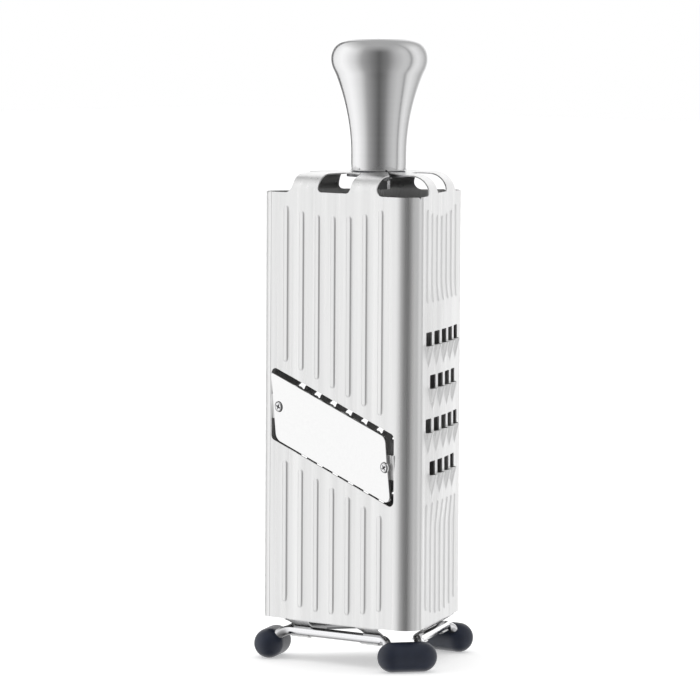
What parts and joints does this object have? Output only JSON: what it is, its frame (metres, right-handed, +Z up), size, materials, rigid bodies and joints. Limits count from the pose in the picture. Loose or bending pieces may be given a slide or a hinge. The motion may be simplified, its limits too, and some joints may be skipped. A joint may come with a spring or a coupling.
{
  "type": "three-sided slicer and grater tower",
  "caption": "Free-standing triangular kitchen slicer and grater of pressed steel: slanted blade, coarse and fine grating faces, pear-shaped knob handle, rubber feet on a wire frame.",
  "frame": {"origin": "centre of the bounding box at its bottom, on the surface that the feet stand on", "axes": "+Z up along the tower; the slicing face looks along -Y; +X to the right of the slicing face"},
  "size_m": [0.1088, 0.0962, 0.2954],
  "materials": {
    "brushed_sheet": "vertical fine brush, satin",
    "polished_blade": "mirror ground",
    "screw_steel": "bright",
    "fixing_steel": "dark, as machined",
    "seal_rubber": "matte",
    "satin_knob": "satin, turned",
    "polished_wire": "polished",
    "foot_rubber": "smooth satin, dark navy"
  },
  "bodies": {
    "root": {"slicer_panel": "brushed_sheet", "coarse_panel": "brushed_sheet", "fine_panel": "brushed_sheet", "slicing_blade": "polished_blade", "blade_screw_left": "screw_steel", "blade_screw_right": "screw_steel", "blade_nut_left": "fixing_steel", "blade_nut_right": "fixing_steel", "crown_clamp_plate": "fixing_steel", "clamp_washer": "fixing_steel", "knob_lock_washer": "fixing_steel", "knob_bolt": "fixing_steel", "knob_seal": "seal_rubber", "knob_base_disc": "fixing_steel", "knob_threaded_boss": "fixing_steel", "knob_shell": "satin_knob", "foot_wire_frame": "polished_wire", "foot_front_left": "foot_rubber", "foot_front_right": "foot_rubber", "foot_rear": "foot_rubber"}
  },
  "joints": []
}
